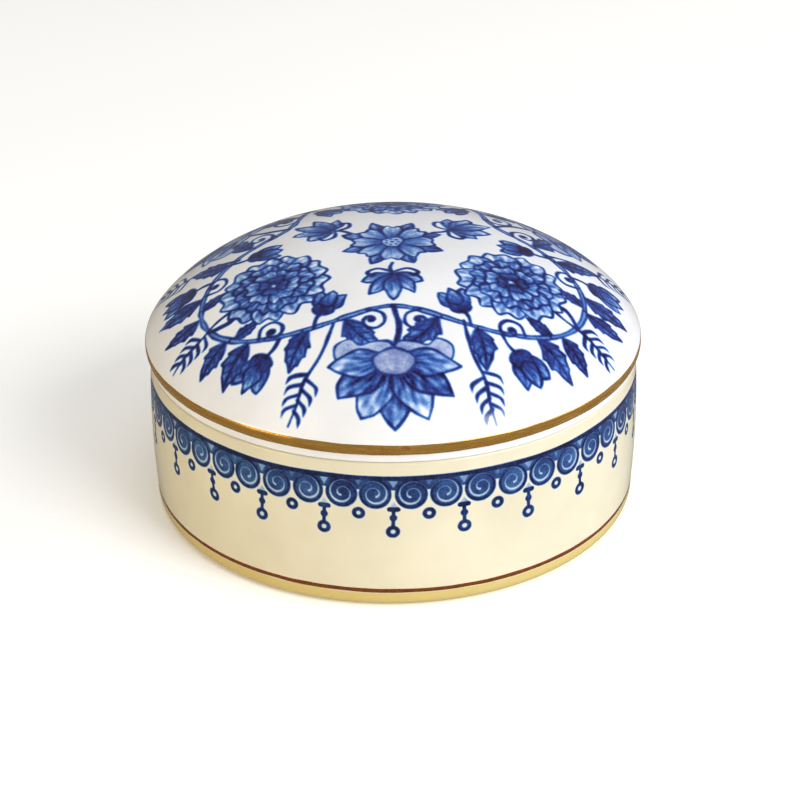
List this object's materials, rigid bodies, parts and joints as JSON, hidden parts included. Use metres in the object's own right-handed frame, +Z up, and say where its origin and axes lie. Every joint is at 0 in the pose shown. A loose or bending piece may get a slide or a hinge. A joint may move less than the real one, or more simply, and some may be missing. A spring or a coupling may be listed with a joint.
{
  "type": "trinket box",
  "caption": "Round porcelain trinket box with a low domed lift-off lid, gilt edge band and foot line, and blue painted scroll and flower decoration.",
  "frame": {"origin": "centre of the circle on which the foot ring rests", "axes": "+Z up along the box's axis of rotation and the way the lid lifts; -Y towards the front of the lid's painting"},
  "size_m": [0.1, 0.1, 0.054],
  "materials": {
    "base_porcelain": "clear gloss glaze over warm white porcelain, cobalt blue spiral and pendant border under the rim",
    "lid_porcelain": "clear gloss glaze over white porcelain, painted in cobalt blue with flowers and leaf scrolls",
    "gilding": "burnished fired gold, thin and slightly uneven at its edges"
  },
  "bodies": {
    "base": {"base": "base_porcelain", "base_gilt_line": "gilding"},
    "lid": {"lid": "lid_porcelain", "lid_gilt_band": "gilding"}
  },
  "joints": [
    {"name": "lid_lift", "type": "slide", "parent": "base", "child": "lid", "axis": [0, 0, 1], "range_m": [0, 0.06]}
  ]
}
